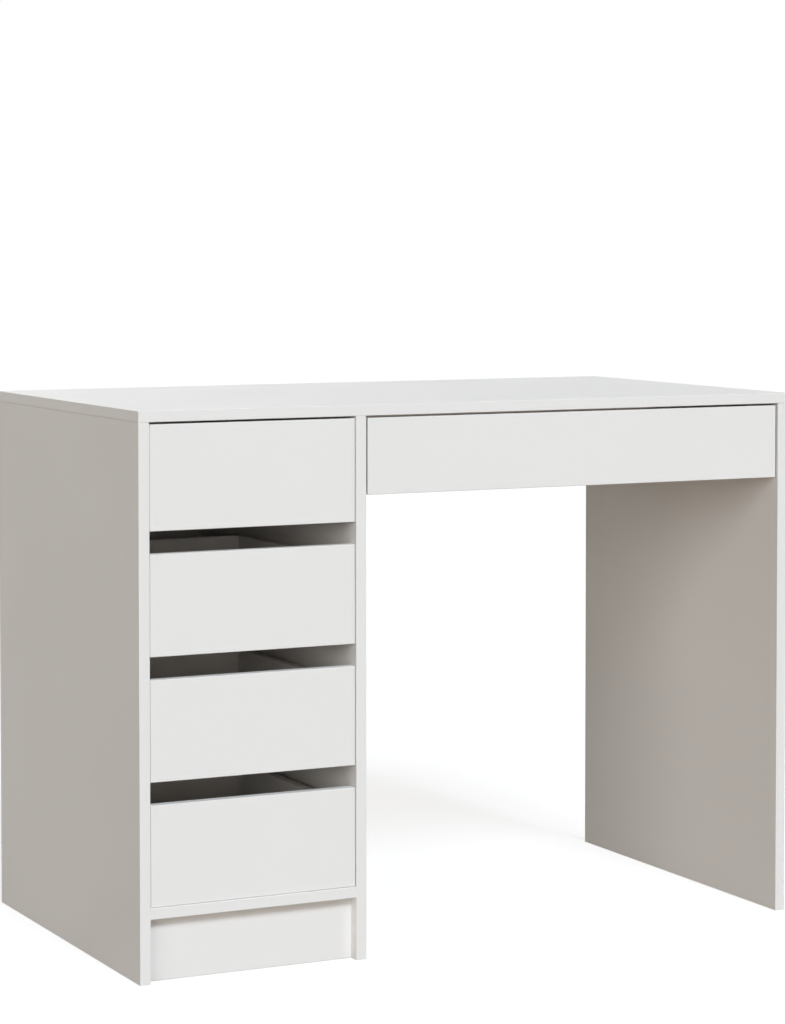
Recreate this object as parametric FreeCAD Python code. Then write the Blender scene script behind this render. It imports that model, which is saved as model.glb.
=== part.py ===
"""Dressing table: a pedestal of four drawers beside a knee space under one wide drawer.

Millimetres, +X to the right seen from the front, +Y to the wall, +Z up. The origin lies on the
floor under the middle of the table. Each piece is written to parts/NODE.step.
"""
import FreeCAD, Part
import os
from dataclasses import dataclass

V = FreeCAD.Vector

# Overall size
TABLE_WIDTH = 1000.0
TABLE_DEPTH = 550.0
TABLE_HEIGHT = 750.0

# Sheet thicknesses: carcass and fronts, drawer boxes, back panel and drawer bottoms
BOARD = 15.0
DRAWER_BOARD = 12.0
HARDBOARD = 3.0

# Pedestal, plinth and rear
PEDESTAL_CLEAR = 297.5
PLINTH_HEIGHT = 85.0
PLINTH_SETBACK = 16.0
BACK_PANEL_INSET = 10.0
BACK_GROOVE_DEPTH = 6.0
REAR_RAIL_INSET = 20.0
REAR_RAIL_HEIGHT = 100.0

# Drawer fronts
SMALL_DRAWERS = 4
FRONT_SETBACK = 2.0
FRONT_TOP_GAP = 3.0
FRONT_BOTTOM_GAP = 0.5
FINGER_GAP = 30.0
TOP_FRONT_EXTRA = 5.0
WIDE_FRONT_HEIGHT = 103.5
SMALL_FRONT_SIDE_GAP = 1.0
WIDE_FRONT_SIDE_GAP = 3.0

# Drawer boxes, measured from the edges of their fronts
SIDE_LENGTH = 335.0
SIDE_RISE = 14.0
SMALL_SIDE_DROP = 18.0
WIDE_SIDE_DROP = 24.5
DRAWER_GROOVE_DEPTH = 5.0
DRAWER_GROOVE_RISE = 6.0

# Telescopic slides, three nested channels with balls between them
SLIDE_WIDTH = 12.7
SLIDE_HEIGHT = 35.0
SLIDE_LENGTH = 300.0
SLIDE_SETBACK = 2.0
SLIDE_RISE = 28.0
SLIDE_STEEL = 1.2
SLIDE_LIP_GAP = 1.0
BALL_SPACE = 2.4
CAGE_LENGTH = 120.0
CAGE_END_GAP = 6.0

# Screws and nails
SLIDE_SCREWS = 3
SLIDE_SCREW_MARGIN = 35.0
SLIDE_SCREW_RADIUS = 1.6
SLIDE_SCREW_SKIN = 3.5
SLIDE_HEAD_RADIUS = 3.2
SLIDE_HEAD_HEIGHT = 1.4
SLIDE_HEAD_ROOM = 0.6
BOX_SCREW_RADIUS = 1.75
BOX_SCREW_LENGTH = 35.0
BOX_HEAD_RADIUS = 3.5
BOX_HEAD_HEIGHT = 2.5
BOX_SCREW_MARGIN = 14.0
NAIL_COUNT = 4
NAIL_MARGIN = 30.0
NAIL_RADIUS = 0.7
NAIL_LENGTH = 22.0
NAIL_HEAD_RADIUS = 1.75
NAIL_HEAD_HEIGHT = 0.8

# Dowels and the places of the carcass joints
DOWEL_RADIUS = 4.0
DOWEL_SKIN = 5.0
DOWEL_IN_EDGE = 20.0
DOWEL_STEP = 32.0
JOINT_INSET = 60.0
PLINTH_CAM_DROP = 30.0
PLINTH_DOWEL_LEVEL = 22.0
RAIL_CAM_MARGIN = 25.0

# Cam locks and their bolts. A skin is the wood left behind a blind hole
CARCASS_CAM_RADIUS = 7.5
CARCASS_CAM_SKIN = 3.0
CARCASS_CAM_EDGE = 24.0
CARCASS_BOLT_RADIUS = 3.5
CARCASS_THREAD_RADIUS = 2.5
CARCASS_THREAD_SKIN = 4.0
DRAWER_CAM_RADIUS = 6.0
DRAWER_CAM_SKIN = 2.5
DRAWER_CAM_EDGE = 20.0
DRAWER_CAM_DROP = 10.0
DRAWER_BOLT_RADIUS = 2.5
DRAWER_THREAD_RADIUS = 2.0
DRAWER_THREAD_SKIN = 6.0
CAM_SUNK = 0.3
CAM_SLOT_WIDTH = 1.6
CAM_SLOT_DEPTH = 2.0
CAP_OVERLAP = 1.5
CAP_HEIGHT = 1.2

# Clearances
FIT = 0.1
RUNNING = 0.3
GROOVE_FIT = 0.2


@dataclass(frozen=True)
class CamSize:
    """Sizes of a cam lock and its bolt in a board of the given thickness."""

    board: float
    radius: float
    depth: float
    edge: float
    bolt_radius: float
    thread_radius: float
    thread_length: float


CARCASS_CAM = CamSize(
    board=BOARD,
    radius=CARCASS_CAM_RADIUS,
    depth=BOARD - CARCASS_CAM_SKIN,
    edge=CARCASS_CAM_EDGE,
    bolt_radius=CARCASS_BOLT_RADIUS,
    thread_radius=CARCASS_THREAD_RADIUS,
    thread_length=BOARD - CARCASS_THREAD_SKIN,
)
DRAWER_CAM = CamSize(
    board=DRAWER_BOARD,
    radius=DRAWER_CAM_RADIUS,
    depth=DRAWER_BOARD - DRAWER_CAM_SKIN,
    edge=DRAWER_CAM_EDGE,
    bolt_radius=DRAWER_BOLT_RADIUS,
    thread_radius=DRAWER_THREAD_RADIUS,
    thread_length=BOARD - DRAWER_THREAD_SKIN,
)

# Planes of the carcass
LEFT = -TABLE_WIDTH / 2
RIGHT = TABLE_WIDTH / 2
FRONT = -TABLE_DEPTH / 2
BACK = TABLE_DEPTH / 2
UNDER_TOP = TABLE_HEIGHT - BOARD
PEDESTAL_LEFT = LEFT + BOARD
PEDESTAL_RIGHT = PEDESTAL_LEFT + PEDESTAL_CLEAR
KNEE_LEFT = PEDESTAL_RIGHT + BOARD
KNEE_RIGHT = RIGHT - BOARD
PEDESTAL_FLOOR = PLINTH_HEIGHT + BOARD
BACK_PANEL_REAR = BACK - BACK_PANEL_INSET
BACK_PANEL_FACE = BACK_PANEL_REAR - HARDBOARD
FRONT_FACE = FRONT + FRONT_SETBACK
FRONT_REAR = FRONT_FACE + BOARD
BOX_REAR = FRONT_REAR + SIDE_LENGTH
SLIDE_START = FRONT_REAR + SLIDE_SETBACK
SLIDE_END = SLIDE_START + SLIDE_LENGTH

X = V(1, 0, 0)
Y = V(0, 1, 0)
Z = V(0, 0, 1)


@dataclass(frozen=True)
class Drawer:
    """Place of a drawer: its opening, the edges of its front and the top of its sides."""

    name: str
    left: float
    right: float
    gap: float
    bottom: float
    top: float
    side_top: float

    @property
    def side_bottom(self):
        """Level of the lower edge of the sides."""
        return self.bottom + SIDE_RISE

    @property
    def axis(self):
        """Level of the middle of the slides."""
        return self.side_bottom + SLIDE_RISE

    @property
    def groove(self):
        """Level of the underside of the drawer bottom."""
        return self.side_bottom + DRAWER_GROOVE_RISE

    @property
    def box_left(self):
        """Outer face of the left side."""
        return self.left + SLIDE_WIDTH

    @property
    def box_right(self):
        """Outer face of the right side."""
        return self.right - SLIDE_WIDTH


class Pieces:
    """Solids of every node and the tools that are cut from them."""

    def __init__(self):
        self.solids = {}
        self.tools = {}

    def add(self, node, *solids):
        """Put solids in a node."""
        self.solids.setdefault(node, []).extend(solids)

    def cut(self, node, *tools):
        """Note shapes that are cut from every solid of a node."""
        self.tools.setdefault(node, []).extend(tools)

    def shape(self, node):
        """Return the finished shape of a node."""
        finished = []
        tools = self.tools.get(node, [])
        for solid in self.solids[node]:
            trimmed = solid.cut(tools) if tools else solid
            finished.extend(trimmed.Solids)
        return finished[0] if len(finished) == 1 else Part.makeCompound(finished)

    def export(self):
        """Write every node to its own file."""
        os.makedirs("parts", exist_ok=True)
        for node in self.solids:
            self.shape(node).exportStep(f"parts/{node}.step")


def block(x0, x1, y0, y1, z0, z1):
    """Box between two corners."""
    return Part.makeBox(x1 - x0, y1 - y0, z1 - z0, V(x0, y0, z0))


def rod(start, direction, radius, length):
    """Cylinder from a point along a direction."""
    return Part.makeCylinder(radius, length, start, direction)


def slab(middle, half):
    """Box around a point with the given half sizes, of either sign."""
    size = V(abs(half.x), abs(half.y), abs(half.z))
    corner = middle - size
    return Part.makeBox(2 * size.x, 2 * size.y, 2 * size.z, corner)


def cam_joint(pieces, cam, centre, outward, toward, board, mate, locks, bolts):
    """Cam lock in a board's face, with a bolt out of its edge into the mating board.

    centre lies on the face, outward leaves the face and toward points at the mating board.
    """
    floor = centre - outward * cam.depth
    core = centre - outward * (cam.board / 2)
    edge = core + toward * cam.edge
    pieces.cut(board, rod(floor, outward, cam.radius + FIT, cam.depth))
    pieces.cut(board, rod(core, toward, cam.bolt_radius + FIT, cam.edge))
    pieces.cut(mate, rod(edge, toward, cam.thread_radius + FIT, cam.thread_length + FIT))

    lock = rod(floor, outward, cam.radius, cam.depth - CAM_SUNK)
    tip = core - toward * cam.bolt_radius
    pocket = rod(tip - toward * FIT, toward, cam.bolt_radius + FIT, cam.radius + cam.bolt_radius + FIT)
    across = outward.cross(toward)
    crown = centre - outward * CAM_SUNK
    slots = []
    for along, beside in ((toward, across), (across, toward)):
        half = along * (cam.radius / 2) + beside * (CAM_SLOT_WIDTH / 2) + outward * CAM_SLOT_DEPTH
        slots.append(slab(crown, half))
    pieces.add(locks, lock.cut([pocket] + slots))

    shank = rod(tip, toward, cam.bolt_radius, cam.edge + cam.bolt_radius)
    thread = rod(edge, toward, cam.thread_radius, cam.thread_length)
    pieces.add(bolts, shank.fuse(thread).removeSplitter())


def dowel_joint(pieces, centre, toward, board, mate):
    """Dowel from a board's edge into the face of the mating board."""
    start = centre - toward * DOWEL_IN_EDGE
    length = DOWEL_IN_EDGE + BOARD - DOWEL_SKIN
    bore = rod(start - toward * FIT, toward, DOWEL_RADIUS + FIT, length + 2 * FIT)
    pieces.cut(board, bore)
    pieces.cut(mate, bore)
    pieces.add("dowels", rod(start, toward, DOWEL_RADIUS, length))


def pan_screw(seat, direction, length):
    """Slide screw whose head lies on a rail at the seat point."""
    head = rod(seat - direction * SLIDE_HEAD_HEIGHT, direction, SLIDE_HEAD_RADIUS, SLIDE_HEAD_HEIGHT)
    return head.fuse(rod(seat, direction, SLIDE_SCREW_RADIUS, length)).removeSplitter()


def sunk_screw(face, direction, grow):
    """Countersunk screw flush with a face, or its hole where grow widens it."""
    wide = BOX_HEAD_RADIUS + grow
    narrow = BOX_SCREW_RADIUS + grow
    head = Part.makeCone(wide, narrow, BOX_HEAD_HEIGHT, face, direction)
    shank = rod(face, direction, narrow, BOX_SCREW_LENGTH + grow)
    return head.fuse(shank).removeSplitter()


def drawers():
    """Places of all drawers, the small ones from the top down and then the wide one."""
    gaps = FRONT_TOP_GAP + FRONT_BOTTOM_GAP + (SMALL_DRAWERS - 1) * FINGER_GAP
    clear = UNDER_TOP - PEDESTAL_FLOOR
    height = (clear - gaps - TOP_FRONT_EXTRA) / SMALL_DRAWERS
    top_edge = UNDER_TOP - FRONT_TOP_GAP
    places = []
    for index in range(SMALL_DRAWERS):
        above = SMALL_DRAWERS - 1 - index
        bottom = PEDESTAL_FLOOR + FRONT_BOTTOM_GAP + above * (height + FINGER_GAP)
        top = top_edge if index == 0 else bottom + height
        side_top = bottom + height - SMALL_SIDE_DROP
        name = f"drawer_{index + 1}"
        places.append(
            Drawer(name, PEDESTAL_LEFT, PEDESTAL_RIGHT, SMALL_FRONT_SIDE_GAP, bottom, top, side_top)
        )
    bottom = top_edge - WIDE_FRONT_HEIGHT
    side_top = top_edge - WIDE_SIDE_DROP
    places.append(
        Drawer("wide_drawer", KNEE_LEFT, KNEE_RIGHT, WIDE_FRONT_SIDE_GAP, bottom, top_edge, side_top)
    )
    return places


def carcass_boards(pieces):
    """Panels, plinth, back panel and rear rail."""
    pieces.add("top_panel", block(LEFT, RIGHT, FRONT, BACK, UNDER_TOP, TABLE_HEIGHT))
    pieces.add("left_side_panel", block(LEFT, PEDESTAL_LEFT, FRONT, BACK, 0, UNDER_TOP))
    pieces.add("partition_panel", block(PEDESTAL_RIGHT, KNEE_LEFT, FRONT, BACK, 0, UNDER_TOP))
    pieces.add("right_side_panel", block(KNEE_RIGHT, RIGHT, FRONT, BACK, 0, UNDER_TOP))
    pieces.add(
        "pedestal_bottom_panel",
        block(PEDESTAL_LEFT, PEDESTAL_RIGHT, FRONT, BACK_PANEL_FACE, PLINTH_HEIGHT, PEDESTAL_FLOOR),
    )
    plinth_face = FRONT + PLINTH_SETBACK
    pieces.add(
        "plinth_board",
        block(PEDESTAL_LEFT, PEDESTAL_RIGHT, plinth_face, plinth_face + BOARD, 0, PLINTH_HEIGHT),
    )
    rail_rear = BACK - REAR_RAIL_INSET
    pieces.add(
        "knee_rear_rail",
        block(KNEE_LEFT, KNEE_RIGHT, rail_rear - BOARD, rail_rear, UNDER_TOP - REAR_RAIL_HEIGHT, UNDER_TOP),
    )


def back_panel(pieces):
    """Hardboard back in grooves of the side, partition and top, nailed to the bottom panel."""
    tongue = BACK_GROOVE_DEPTH - GROOVE_FIT
    panel = block(
        PEDESTAL_LEFT - tongue,
        PEDESTAL_RIGHT + tongue,
        BACK_PANEL_FACE,
        BACK_PANEL_REAR,
        PLINTH_HEIGHT,
        UNDER_TOP + tongue,
    )
    pieces.add("pedestal_back_panel", panel)
    groove = block(
        PEDESTAL_LEFT - BACK_GROOVE_DEPTH,
        PEDESTAL_RIGHT + BACK_GROOVE_DEPTH,
        BACK_PANEL_FACE,
        BACK_PANEL_REAR + GROOVE_FIT,
        PLINTH_HEIGHT,
        UNDER_TOP + BACK_GROOVE_DEPTH,
    )
    for node in ("left_side_panel", "partition_panel", "top_panel"):
        pieces.cut(node, groove)

    level = PLINTH_HEIGHT + BOARD / 2
    pitch = (PEDESTAL_CLEAR - 2 * NAIL_MARGIN) / (NAIL_COUNT - 1)
    for index in range(NAIL_COUNT):
        seat = V(PEDESTAL_LEFT + NAIL_MARGIN + index * pitch, BACK_PANEL_REAR, level)
        head = rod(seat, Y, NAIL_HEAD_RADIUS, NAIL_HEAD_HEIGHT)
        pieces.add("back_panel_nails", head.fuse(rod(seat, -Y, NAIL_RADIUS, NAIL_LENGTH)).removeSplitter())
        hole = rod(seat, -Y, NAIL_RADIUS + FIT, NAIL_LENGTH + FIT)
        pieces.cut("pedestal_back_panel", hole)
        pieces.cut("pedestal_bottom_panel", hole)


def carcass_cam(pieces, centre, outward, toward, board, mate, capped):
    """Cam joint between two carcass boards, with a cap where the cam shows."""
    cam_joint(pieces, CARCASS_CAM, centre, outward, toward, board, mate, "cam_locks", "cam_bolts")
    if capped:
        pieces.add("cam_caps", rod(centre, outward, CARCASS_CAM.radius + CAP_OVERLAP, CAP_HEIGHT))


def top_joints(pieces):
    """Cams and dowels that hold the top on the three uprights."""
    uprights = (
        ("left_side_panel", PEDESTAL_LEFT, X, LEFT + BOARD / 2, False),
        ("partition_panel", PEDESTAL_RIGHT, -X, PEDESTAL_RIGHT + BOARD / 2, False),
        ("right_side_panel", KNEE_RIGHT, -X, KNEE_RIGHT + BOARD / 2, True),
    )
    level = UNDER_TOP - CARCASS_CAM.edge
    for node, face, outward, middle, capped in uprights:
        for place, inward in ((FRONT + JOINT_INSET, 1), (BACK - JOINT_INSET, -1)):
            carcass_cam(pieces, V(face, place, level), outward, Z, node, "top_panel", capped)
            dowel_joint(pieces, V(middle, place + inward * DOWEL_STEP, UNDER_TOP), Z, node, "top_panel")


def pedestal_joints(pieces):
    """Cams and dowels that hold the pedestal's bottom and plinth between its uprights."""
    plinth_middle = FRONT + PLINTH_SETBACK + BOARD / 2
    plinth_rear = FRONT + PLINTH_SETBACK + BOARD
    ends = (("left_side_panel", PEDESTAL_LEFT, -X), ("partition_panel", PEDESTAL_RIGHT, X))
    for mate, face, toward in ends:
        cam_x = face - toward.x * CARCASS_CAM.edge
        for place, inward in ((FRONT + JOINT_INSET, 1), (BACK_PANEL_FACE - JOINT_INSET, -1)):
            centre = V(cam_x, place, PLINTH_HEIGHT)
            carcass_cam(pieces, centre, -Z, toward, "pedestal_bottom_panel", mate, False)
            dowel = V(face, place + inward * DOWEL_STEP, PLINTH_HEIGHT + BOARD / 2)
            dowel_joint(pieces, dowel, toward, "pedestal_bottom_panel", mate)
        centre = V(cam_x, plinth_rear, PLINTH_HEIGHT - PLINTH_CAM_DROP)
        carcass_cam(pieces, centre, Y, toward, "plinth_board", mate, False)
        dowel = V(face, plinth_middle, PLINTH_DOWEL_LEVEL)
        dowel_joint(pieces, dowel, toward, "plinth_board", mate)


def rear_rail_joints(pieces):
    """Cams and dowels that hold the rail across the rear of the knee space."""
    rail_rear = BACK - REAR_RAIL_INSET
    lower = UNDER_TOP - REAR_RAIL_HEIGHT
    ends = (("partition_panel", KNEE_LEFT, -X), ("right_side_panel", KNEE_RIGHT, X))
    for mate, face, toward in ends:
        cam_x = face - toward.x * CARCASS_CAM.edge
        for level in (lower + RAIL_CAM_MARGIN, UNDER_TOP - RAIL_CAM_MARGIN):
            centre = V(cam_x, rail_rear, level)
            carcass_cam(pieces, centre, Y, toward, "knee_rear_rail", mate, True)
        dowel = V(face, rail_rear - BOARD / 2, lower + REAR_RAIL_HEIGHT / 2)
        dowel_joint(pieces, dowel, toward, "knee_rear_rail", mate)


def drawer_box(pieces, drawer):
    """Front, sides, back and bottom of a drawer with the grooves that hold the bottom."""
    name = drawer.name
    inner_left = drawer.box_left + DRAWER_BOARD
    inner_right = drawer.box_right - DRAWER_BOARD
    upper = drawer.groove + HARDBOARD
    pieces.add(
        f"{name}_front",
        block(
            drawer.left + drawer.gap,
            drawer.right - drawer.gap,
            FRONT_FACE,
            FRONT_REAR,
            drawer.bottom,
            drawer.top,
        ),
    )
    for side, x0 in (("left", drawer.box_left), ("right", inner_right)):
        pieces.add(
            f"{name}_{side}_side",
            block(x0, x0 + DRAWER_BOARD, FRONT_REAR, BOX_REAR, drawer.side_bottom, drawer.side_top),
        )
    back_face = BOX_REAR - DRAWER_BOARD
    pieces.add(f"{name}_back", block(inner_left, inner_right, back_face, BOX_REAR, upper, drawer.side_top))

    tongue = DRAWER_GROOVE_DEPTH - GROOVE_FIT
    pieces.add(
        f"{name}_bottom",
        block(
            inner_left - tongue, inner_right + tongue, FRONT_REAR - tongue, BOX_REAR, drawer.groove, upper
        ),
    )
    groove = block(
        inner_left - DRAWER_GROOVE_DEPTH,
        inner_right + DRAWER_GROOVE_DEPTH,
        FRONT_REAR - DRAWER_GROOVE_DEPTH,
        BOX_REAR,
        drawer.groove,
        upper + GROOVE_FIT,
    )
    for node in ("front", "left_side", "right_side"):
        pieces.cut(f"{name}_{node}", groove)


def drawer_fixings(pieces, drawer):
    """Cams that hold the front and screws that hold the back of a drawer."""
    name = drawer.name
    fixings = f"{name}_fixings"
    back_lower = drawer.groove + HARDBOARD
    levels = (back_lower + BOX_SCREW_MARGIN, drawer.side_top - BOX_SCREW_MARGIN)
    ends = ((f"{name}_left_side", drawer.box_left, -X), (f"{name}_right_side", drawer.box_right, X))
    for side, face, outward in ends:
        centre = V(face, FRONT_REAR + DRAWER_CAM.edge, drawer.side_top - DRAWER_CAM_DROP)
        cam_joint(pieces, DRAWER_CAM, centre, outward, -Y, side, f"{name}_front", fixings, fixings)
        for level in levels:
            entry = V(face, BOX_REAR - DRAWER_BOARD / 2, level)
            pieces.add(fixings, sunk_screw(entry, -outward, 0))
            hole = sunk_screw(entry, -outward, FIT)
            pieces.cut(side, hole)
            pieces.cut(f"{name}_back", hole)


def channel(wall, facing, axis, web, reach, half):
    """Rail of C section along Y. web and reach are distances from the wall it faces away from."""
    inner = web + SLIDE_STEEL if reach > web else web - SLIDE_STEEL
    lip = half - SLIDE_STEEL
    outline = (
        (web, -half),
        (reach, -half),
        (reach, -lip),
        (inner, -lip),
        (inner, lip),
        (reach, lip),
        (reach, half),
        (web, half),
    )
    points = [V(wall + facing * x, SLIDE_START, axis + z) for x, z in outline]
    points.append(points[0])
    return Part.Face(Part.makePolygon(points)).extrude(V(0, SLIDE_LENGTH, 0))


def cages(wall, facing, axis, halves, reaches, start):
    """Upper and lower ball cage between two nested rails."""
    sides = sorted(wall + facing * reach for reach in reaches)
    strips = []
    for sign in (-1, 1):
        levels = sorted((axis + sign * (halves[0] + RUNNING), axis + sign * (halves[1] - RUNNING)))
        strips.append(block(sides[0], sides[1], start, start + CAGE_LENGTH, levels[0], levels[1]))
    return strips


def slide_pair(pieces, drawer, walls):
    """Left and right slide of a drawer: cabinet, middle and drawer rails with their screws."""
    name = drawer.name
    cabinet_half = SLIDE_HEIGHT / 2
    cabinet_lip = cabinet_half - SLIDE_STEEL
    middle_half = cabinet_lip - BALL_SPACE
    middle_lip = middle_half - SLIDE_STEEL
    drawer_half = middle_lip - BALL_SPACE
    reach = SLIDE_WIDTH - SLIDE_STEEL - SLIDE_LIP_GAP
    middle_web = SLIDE_STEEL + SLIDE_HEAD_HEIGHT + SLIDE_HEAD_ROOM
    drawer_reach = middle_web + SLIDE_STEEL + SLIDE_LIP_GAP
    cage_sides = (drawer_reach, reach)
    screw_length = SLIDE_STEEL + DRAWER_BOARD - SLIDE_SCREW_SKIN
    screw_pitch = (SLIDE_LENGTH - 2 * SLIDE_SCREW_MARGIN) / (SLIDE_SCREWS - 1)
    ends = (
        (drawer.left, 1, walls[0], f"{name}_left_side"),
        (drawer.right, -1, walls[1], f"{name}_right_side"),
    )
    for wall, facing, board, side in ends:
        axis = drawer.axis
        pieces.add(f"{name}_cabinet_rails", channel(wall, facing, axis, 0, reach, cabinet_half))
        pieces.add(f"{name}_middle_rails", channel(wall, facing, axis, middle_web, reach, middle_half))
        drawer_rail = channel(wall, facing, axis, SLIDE_WIDTH, drawer_reach, drawer_half)
        pieces.add(f"{name}_drawer_rails", drawer_rail)
        rear = SLIDE_END - CAGE_END_GAP - CAGE_LENGTH
        fore = SLIDE_START + CAGE_END_GAP
        pieces.add(
            f"{name}_middle_rails",
            *cages(wall, facing, axis, (middle_half, cabinet_lip), cage_sides, rear),
            *cages(wall, facing, axis, (drawer_half, middle_lip), cage_sides, fore),
        )
        into_wall = X * -facing
        for index in range(SLIDE_SCREWS):
            place = SLIDE_START + SLIDE_SCREW_MARGIN + index * screw_pitch
            cabinet_seat = V(wall + facing * SLIDE_STEEL, place, axis)
            drawer_seat = V(wall + facing * (SLIDE_WIDTH - SLIDE_STEEL), place, axis)
            pieces.add("slide_screws", pan_screw(cabinet_seat, into_wall, screw_length))
            pieces.add(f"{name}_fixings", pan_screw(drawer_seat, -into_wall, screw_length))
            bore = SLIDE_SCREW_RADIUS + FIT
            cabinet_hole = rod(cabinet_seat, into_wall, bore, screw_length + FIT)
            drawer_hole = rod(drawer_seat, -into_wall, bore, screw_length + FIT)
            pieces.cut(board, cabinet_hole)
            pieces.cut(f"{name}_cabinet_rails", cabinet_hole)
            pieces.cut(side, drawer_hole)
            pieces.cut(f"{name}_drawer_rails", drawer_hole)


def build():
    """Make every piece of the table."""
    pieces = Pieces()
    carcass_boards(pieces)
    back_panel(pieces)
    top_joints(pieces)
    pedestal_joints(pieces)
    rear_rail_joints(pieces)
    for drawer in drawers():
        if drawer.left == PEDESTAL_LEFT:
            walls = ("left_side_panel", "partition_panel")
        else:
            walls = ("partition_panel", "right_side_panel")
        drawer_box(pieces, drawer)
        drawer_fixings(pieces, drawer)
        slide_pair(pieces, drawer, walls)
    return pieces


if __name__ == "__main__":
    build().export()
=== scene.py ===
"""Dressing table of white coated board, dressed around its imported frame.

Boards get rounded arrises, edge bands and bare chipboard where they are cut, the slides get
pressed profiles with slots and balls, and the small hardware gets its drives and heads. Every
piece rides the body that carries it. Metres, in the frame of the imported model.
"""
import logging
import math
from dataclasses import dataclass, field
from enum import Enum
from functools import cached_property
from typing import Any

import bmesh
import bpy
from bmesh.types import BMesh, BMVert
from bpy.types import Material, Mesh, Node, NodeOutputs, NodeSocket, NodeTree, Object
from mathutils import Matrix, Vector


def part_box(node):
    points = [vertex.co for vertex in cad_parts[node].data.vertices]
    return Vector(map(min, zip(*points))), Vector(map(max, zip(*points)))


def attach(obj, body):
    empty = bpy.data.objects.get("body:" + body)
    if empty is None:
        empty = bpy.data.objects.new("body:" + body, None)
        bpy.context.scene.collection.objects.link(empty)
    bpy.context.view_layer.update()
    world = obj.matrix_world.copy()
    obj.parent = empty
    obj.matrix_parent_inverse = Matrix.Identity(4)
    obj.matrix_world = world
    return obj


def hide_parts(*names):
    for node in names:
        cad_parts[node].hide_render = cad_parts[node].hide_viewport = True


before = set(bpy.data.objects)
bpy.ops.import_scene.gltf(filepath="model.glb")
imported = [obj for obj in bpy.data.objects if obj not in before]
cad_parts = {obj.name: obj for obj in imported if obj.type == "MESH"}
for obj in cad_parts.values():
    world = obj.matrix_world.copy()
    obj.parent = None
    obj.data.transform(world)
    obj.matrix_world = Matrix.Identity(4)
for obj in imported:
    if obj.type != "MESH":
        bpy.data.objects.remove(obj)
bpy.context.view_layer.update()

LOG = logging.getLogger("dressing_table")

Tone = tuple[float, float, float]
Place = tuple[float, float, float]
Span = tuple[float, float]
Seat = tuple[Vector, Vector]
Inputs = dict[str | int, Any]

MERGE_DISTANCE = 2e-6
FLAT_ANGLE = math.radians(0.5)
ON_PLANE = 1e-5
RIM_DEPTH = 1e-4
ROUND_PROFILE = 0.5
QUAD_CORNERS = 4
HARDBOARD_ARRIS = 0.0003

HEAD_SIDES = 24
HEAD_STEPS = 4
SHANK_SIDES = 12
SLOT_SIDES = 16
DOWEL_SIDES = 24
DOWEL_THIRDS = 3
BALL_SIDES = 8
BALL_RINGS = 6

WHITE_LIGHT: Tone = (1.0, 1.0, 1.0)
NOISE_RANGE: Span = (0.3, 0.7)

# A Mix node has one set of sockets for each type that it mixes.
MIX_FACTOR = 0
MIX_NUMBERS = (2, 3)
MIX_COLOURS = (6, 7)
MIX_COLOUR_RESULT = 2

# A Random Value node has them too: its lowest and highest number, and the number drawn.
RANDOM_NUMBERS = (2, 3)
RANDOM_NUMBER_RESULT = 1

DEFAULT_LENGTH = 0.001
SOCKETS = {bool: "NodeSocketBool", int: "NodeSocketInt", float: "NodeSocketFloat",
           tuple: "NodeSocketColor"}

SMALL_DRAWERS = ("drawer_1", "drawer_2", "drawer_3", "drawer_4")
WIDE_DRAWER = "wide_drawer"


class Side(Enum):
    """Side of a board, as an axis and a direction along it."""

    LEFT = (0, -1)
    RIGHT = (0, 1)
    FRONT = (1, -1)
    BACK = (1, 1)
    UNDER = (2, -1)
    UPPER = (2, 1)

    @property
    def axis(self) -> int:
        """Axis that the side faces along."""
        return self.value[0]

    @property
    def sign(self) -> int:
        """Direction along that axis."""
        return self.value[1]


class Skin(Enum):
    """Surface of a board, as the place of its material on the mesh."""

    FACE = 0
    BAND = 1
    CORE = 2


class Slot(Enum):
    """Material slot of the record."""

    WHITE_BOARD = "white_board"
    DRAWER_BOARD = "drawer_board"
    HARDBOARD = "hardboard"
    ZINC_STEEL = "zinc_steel"
    CAP_PLASTIC = "cap_plastic"
    DOWEL_WOOD = "dowel_wood"


class RailKind(Enum):
    """Rail of a slide, by the end of its node's name."""

    CABINET = "cabinet_rails"
    MIDDLE = "middle_rails"
    DRAWER = "drawer_rails"


def tone4(tone: Tone) -> tuple[float, float, float, float]:
    """A tone with full alpha."""
    return (*tone, 1.0)


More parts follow.
